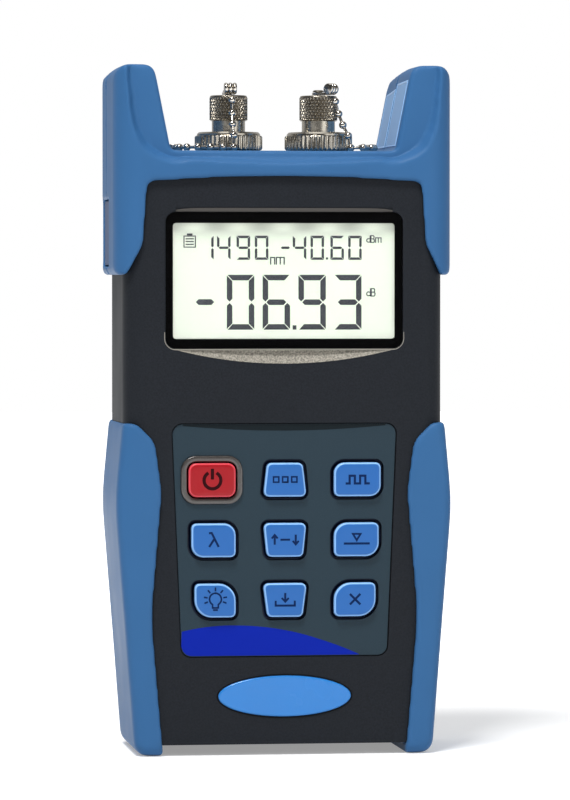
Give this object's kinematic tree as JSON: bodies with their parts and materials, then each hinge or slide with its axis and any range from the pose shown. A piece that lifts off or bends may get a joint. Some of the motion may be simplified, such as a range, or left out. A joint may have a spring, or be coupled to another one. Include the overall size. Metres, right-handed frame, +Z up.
{
  "type": "optical power meter",
  "caption": "Handheld fibre-optic power meter with a horned guard, display, nine keys, two FC ports and dust caps on ball chains.",
  "frame": {"origin": "on the floor under the middle of the upright meter", "axes": "+Z up along the meter, the front looks along -Y, +X to the right of the front"},
  "size_m": [0.0864, 0.041, 0.175],
  "materials": {
    "blue_rubber": "satin overmould",
    "charcoal_plastic": "fine grain",
    "clear_plastic": "clear gloss",
    "black_foam": "matt",
    "lcd_glass": "gloss",
    "white_plastic": "matt",
    "slate_film": "satin film",
    "key_blue": "satin",
    "key_red": "satin",
    "bezel_metal": "dark metallic",
    "silicone": "matt",
    "spring_steel": "bright",
    "board_green": "solder mask",
    "chip_black": "matt",
    "steel": "bright",
    "cell_jacket": "gloss",
    "inlay_blue": "gloss dome",
    "nickel": "nickel plate",
    "ceramic_white": "polished",
    "black_plastic": "matt"
  },
  "bodies": {
    "meter": {"top_guard_front": "blue_rubber", "top_guard_rear": "blue_rubber", "left_grip": "blue_rubber", "right_grip": "blue_rubber", "front_shell": "charcoal_plastic", "rear_shell": "charcoal_plastic", "display_window": "clear_plastic", "window_gasket": "black_foam", "lcd_glass": "lcd_glass", "lcd_backlight": "white_plastic", "lcd_frame": "white_plastic", "keypad_overlay": "slate_film", "power_bezel": "bezel_metal", "keypad_mat": "silicone", "key_domes": "spring_steel", "oval_inlay": "inlay_blue", "main_pcb": "board_green", "pcb_chips": "chip_black", "pcb_screws": "steel", "case_screws": "steel", "cell_springs": "spring_steel", "cell_contacts": "spring_steel", "usb_socket": "black_plastic", "photodiode": "nickel", "laser_module": "nickel", "cell_1": "cell_jacket", "cell_2": "cell_jacket", "cell_3": "cell_jacket", "left_port_barrel": "nickel", "left_fc_adapter": "nickel", "left_chain_lay": "nickel", "left_chain_anchor": "nickel", "left_split_sleeve": "ceramic_white", "right_port_barrel": "nickel", "right_fc_adapter": "nickel", "right_chain_lay": "nickel", "right_chain_anchor": "nickel", "right_split_sleeve": "ceramic_white"},
    "door": {"battery_door": "charcoal_plastic"},
    "flap": {"port_cover": "black_foam"},
    "power_button": {"power_key": "key_red"},
    "mode_button": {"mode_key": "key_blue"},
    "wave_button": {"wave_key": "key_blue"},
    "lambda_button": {"lambda_key": "key_blue"},
    "units_button": {"units_key": "key_blue"},
    "ref_button": {"ref_key": "key_blue"},
    "light_button": {"light_key": "key_blue"},
    "save_button": {"save_key": "key_blue"},
    "delete_button": {"delete_key": "key_blue"},
    "left_ring": {"left_adapter_ring": "nickel"},
    "left_cap": {"left_dust_cap": "nickel"},
    "left_swivel": {"left_cap_swivel": "nickel", "left_chain_hang": "nickel"},
    "right_ring": {"right_adapter_ring": "nickel"},
    "right_cap": {"right_dust_cap": "nickel"},
    "right_swivel": {"right_cap_swivel": "nickel", "right_chain_hang": "nickel"}
  },
  "joints": [
    {"name": "power_press", "type": "slide", "parent": "meter", "child": "power_button", "axis": [0, 1, 0], "range_m": [0, 0.0008], "stiffness_N_per_m": 300},
    {"name": "mode_press", "type": "slide", "parent": "meter", "child": "mode_button", "axis": [0, 1, 0], "range_m": [0, 0.0008], "stiffness_N_per_m": 300},
    {"name": "wave_press", "type": "slide", "parent": "meter", "child": "wave_button", "axis": [0, 1, 0], "range_m": [0, 0.0008], "stiffness_N_per_m": 300},
    {"name": "lambda_press", "type": "slide", "parent": "meter", "child": "lambda_button", "axis": [0, 1, 0], "range_m": [0, 0.0008], "stiffness_N_per_m": 300},
    {"name": "units_press", "type": "slide", "parent": "meter", "child": "units_button", "axis": [0, 1, 0], "range_m": [0, 0.0008], "stiffness_N_per_m": 300},
    {"name": "ref_press", "type": "slide", "parent": "meter", "child": "ref_button", "axis": [0, 1, 0], "range_m": [0, 0.0008], "stiffness_N_per_m": 300},
    {"name": "light_press", "type": "slide", "parent": "meter", "child": "light_button", "axis": [0, 1, 0], "range_m": [0, 0.0008], "stiffness_N_per_m": 300},
    {"name": "save_press", "type": "slide", "parent": "meter", "child": "save_button", "axis": [0, 1, 0], "range_m": [0, 0.0008], "stiffness_N_per_m": 300},
    {"name": "delete_press", "type": "slide", "parent": "meter", "child": "delete_button", "axis": [0, 1, 0], "range_m": [0, 0.0008], "stiffness_N_per_m": 300},
    {"name": "door_swing", "type": "hinge", "parent": "meter", "child": "door", "pos_m": [0, 0.019, 0.0723], "axis": [1, 0, 0], "range_deg": [0, 80]},
    {"name": "flap_swing", "type": "hinge", "parent": "meter", "child": "flap", "pos_m": [-0.0426, 0.00575, 0.14065], "axis": [0, 1, 0], "range_deg": [0, 105]},
    {"name": "left_ring_turn", "type": "hinge", "parent": "meter", "child": "left_ring", "pos_m": [-0.01166, 0.003, 0.156], "axis": [0, 0, 1], "continuous": true},
    {"name": "left_cap_lift", "type": "slide", "parent": "meter", "child": "left_swivel", "axis": [0, 0, 1], "range_m": [0, 0.025]},
    {"name": "left_cap_turn", "type": "hinge", "parent": "left_swivel", "child": "left_cap", "pos_m": [-0.01166, 0.003, 0.168], "axis": [0, 0, 1], "continuous": true},
    {"name": "right_ring_turn", "type": "hinge", "parent": "meter", "child": "right_ring", "pos_m": [0.01166, 0.003, 0.156], "axis": [0, 0, 1], "continuous": true},
    {"name": "right_cap_lift", "type": "slide", "parent": "meter", "child": "right_swivel", "axis": [0, 0, 1], "range_m": [0, 0.025]},
    {"name": "right_cap_turn", "type": "hinge", "parent": "right_swivel", "child": "right_cap", "pos_m": [0.01166, 0.003, 0.168], "axis": [0, 0, 1], "continuous": true}
  ]
}
